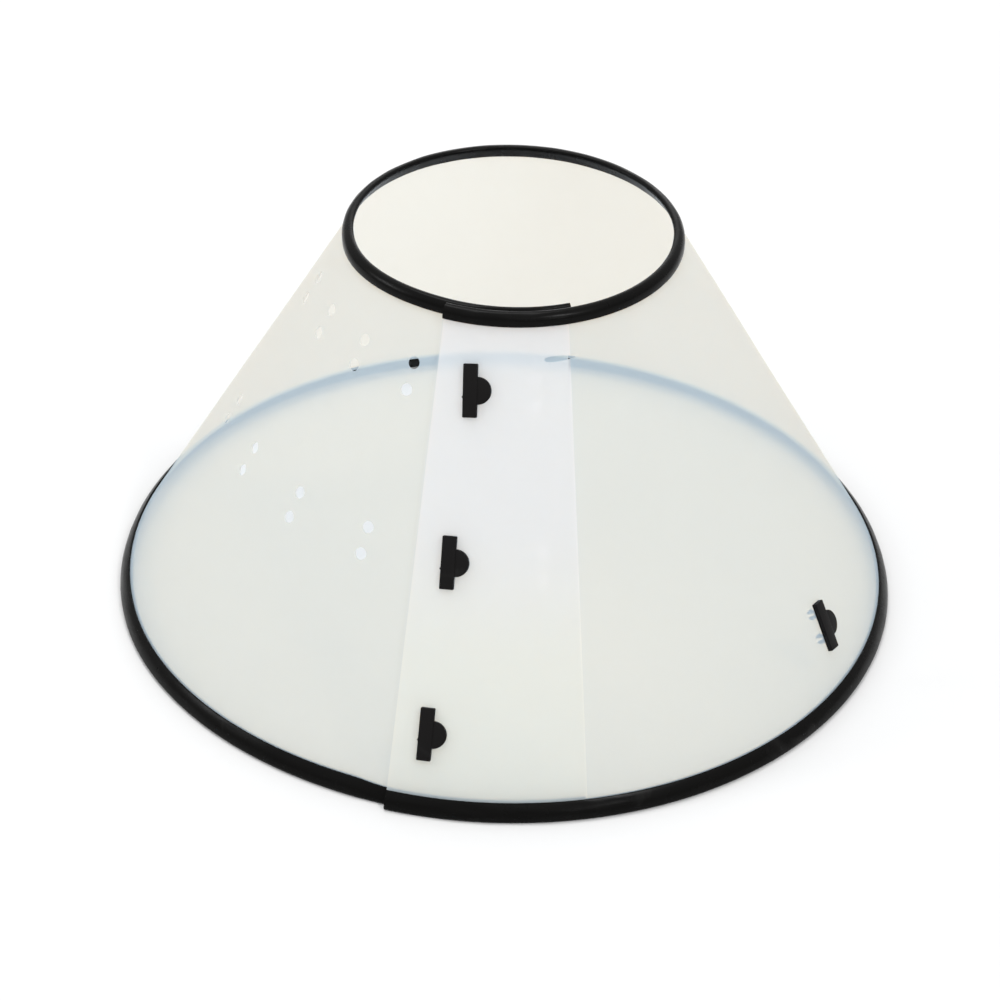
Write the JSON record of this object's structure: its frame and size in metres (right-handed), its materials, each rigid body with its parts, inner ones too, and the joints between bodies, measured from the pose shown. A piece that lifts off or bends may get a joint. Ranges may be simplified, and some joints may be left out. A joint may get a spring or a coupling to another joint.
{
  "type": "elizabethan collar",
  "caption": "Open cone of rolled translucent sheet with black edge bindings at neck and rim, lapped at the front and closed by pull-out snap clips through rows of size holes.",
  "frame": {"origin": "centre of the wide rim's underside, where the collar stands", "axes": "+Z along the cone's axis from the rim to the neck, -Y towards the lapped seam, +X to the right seen from the seam's side"},
  "size_m": [0.383, 0.3828, 0.1988],
  "materials": {
    "milky_sheet": "satin translucent polypropylene sheet",
    "black_binding": "satin soft vinyl edge trim",
    "black_clip": "moulded semi-matte plastic"
  },
  "bodies": {
    "collar": {"cone_sheet": "milky_sheet", "rim_binding": "black_binding", "neck_binding": "black_binding"},
    "upper_seam_clip": {"upper_seam_clip": "black_clip"},
    "middle_seam_clip": {"middle_seam_clip": "black_clip"},
    "lower_seam_clip": {"lower_seam_clip": "black_clip"},
    "side_clip": {"side_clip": "black_clip"}
  },
  "joints": [
    {"name": "upper_seam_clip_pull", "type": "slide", "parent": "collar", "child": "upper_seam_clip", "axis": [-0.1589, -0.8493, 0.5034], "range_m": [0, 0.01]},
    {"name": "middle_seam_clip_pull", "type": "slide", "parent": "collar", "child": "middle_seam_clip", "axis": [-0.1634, -0.8485, 0.5034], "range_m": [0, 0.01]},
    {"name": "lower_seam_clip_pull", "type": "slide", "parent": "collar", "child": "lower_seam_clip", "axis": [-0.1671, -0.8478, 0.5034], "range_m": [0, 0.01]},
    {"name": "side_clip_pull", "type": "slide", "parent": "collar", "child": "side_clip", "axis": [0.7601, -0.411, 0.5034], "range_m": [0, 0.01]}
  ]
}
